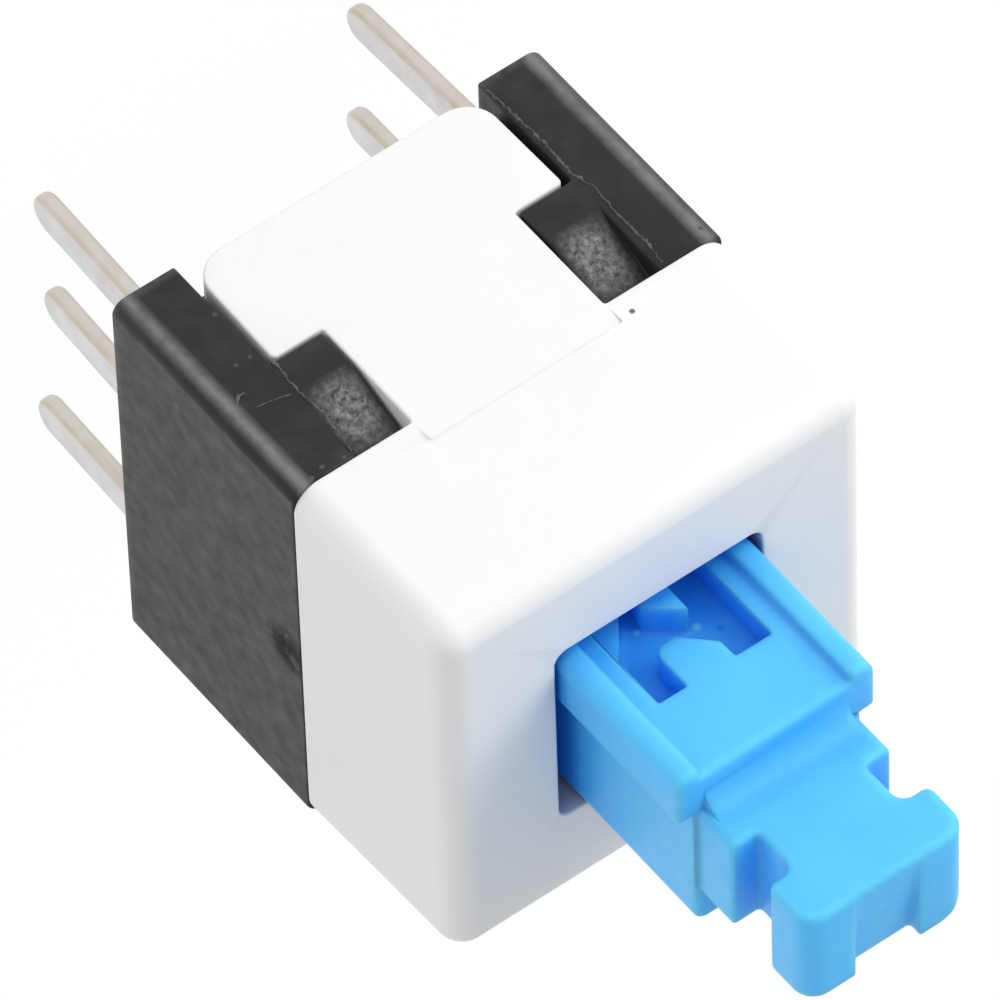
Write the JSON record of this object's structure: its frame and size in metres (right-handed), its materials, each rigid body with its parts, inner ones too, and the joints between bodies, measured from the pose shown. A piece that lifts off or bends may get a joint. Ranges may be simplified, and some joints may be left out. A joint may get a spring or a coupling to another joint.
{
  "type": "pcb push switch",
  "caption": "Small square self-locking push switch for a circuit board, with a snap-fit housing, a sliding plunger, a cam latch and two changeover poles.",
  "frame": {"origin": "centre of the square seating plane, which is the back ends of the black side walls, where the board's face lies", "axes": "+Z out of the board along the plunger's travel, +Y away from the side that has the plunger's cam track, +X across the two rows of pins"},
  "size_m": [0.0086, 0.0086, 0.018],
  "materials": {
    "base_black": "satin moulded black nylon, darker and rougher on the ramps",
    "housing_white": "smooth semi-gloss white nylon",
    "plunger_blue": "bright sky-blue moulded acetal, slightly translucent",
    "pin_tin": "dull tin plating on copper alloy",
    "contact_bronze": "silver-plated phosphor bronze sheet",
    "spring_steel": "bright spring wire",
    "leaf_bronze": "thin phosphor bronze strip"
  },
  "bodies": {
    "case": {"base": "base_black", "housing": "housing_white", "terminal_left_closed": "pin_tin", "terminal_left_common": "pin_tin", "terminal_left_open": "pin_tin", "terminal_right_closed": "pin_tin", "terminal_right_common": "pin_tin", "terminal_right_open": "pin_tin", "latch_leaf_spring": "leaf_bronze", "return_spring": "spring_steel"},
    "slider": {"plunger": "plunger_blue", "moving_contact_left": "contact_bronze", "moving_contact_right": "contact_bronze"},
    "latch": {"latch_pin": "spring_steel"}
  },
  "joints": [
    {"name": "plunger_slide", "type": "slide", "parent": "case", "child": "slider", "axis": [0, 0, -1], "range_m": [0, 0.0025], "stiffness_N_per_m": 300, "springref_m": -0.002, "deforming": ["return_spring"]},
    {"name": "latch_swing", "type": "hinge", "parent": "case", "child": "latch", "pos_m": [0.0003, 0, 0.00185], "axis": [0, 1, 0], "range_deg": [0, 5.75]}
  ],
  "couplings": [
    {"joint": "latch_swing", "follows": "plunger_slide", "rad_per_m": 40}
  ]
}
